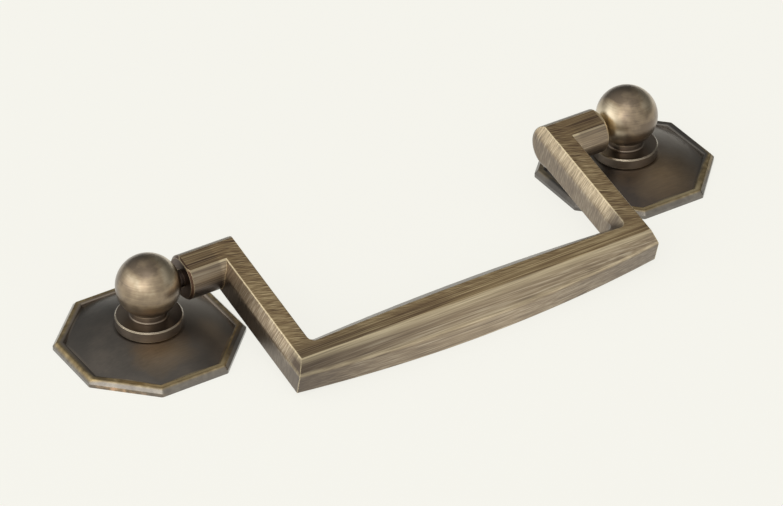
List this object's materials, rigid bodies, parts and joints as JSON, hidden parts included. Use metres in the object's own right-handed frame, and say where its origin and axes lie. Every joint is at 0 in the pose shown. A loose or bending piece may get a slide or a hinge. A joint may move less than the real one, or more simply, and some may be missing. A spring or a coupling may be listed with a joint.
{
  "type": "drop pull",
  "caption": "Antique brass drop pull: a faceted bail with a swelling grip hangs between ball posts on octagonal backplates and swings out for the fingers.",
  "frame": {"origin": "centre of the mounting face, midway between the two fixing holes", "axes": "+X along the pivot line, +Z out of the drawer front, -Y the way the bail hangs when fitted"},
  "size_m": [0.1258, 0.0441, 0.0165],
  "materials": {
    "backplate_brass": "dark antique patina with a rubbed rim",
    "post_brass": "antique patina, satin turned",
    "bail_brass": "antique patina, brushed, bright edges",
    "pin_steel": "plain ground"
  },
  "bodies": {
    "mounting": {"backplate_left": "backplate_brass", "backplate_right": "backplate_brass", "ball_post_left": "post_brass", "ball_post_right": "post_brass"},
    "swinging_bail": {"bail": "bail_brass", "pivot_pin_left": "pin_steel", "pivot_pin_right": "pin_steel"}
  },
  "joints": [
    {"name": "bail_swing", "type": "hinge", "parent": "mounting", "child": "swinging_bail", "pos_m": [0, 0, 0.01016], "axis": [-1, 0, 0], "range_deg": [0, 208.5]}
  ]
}
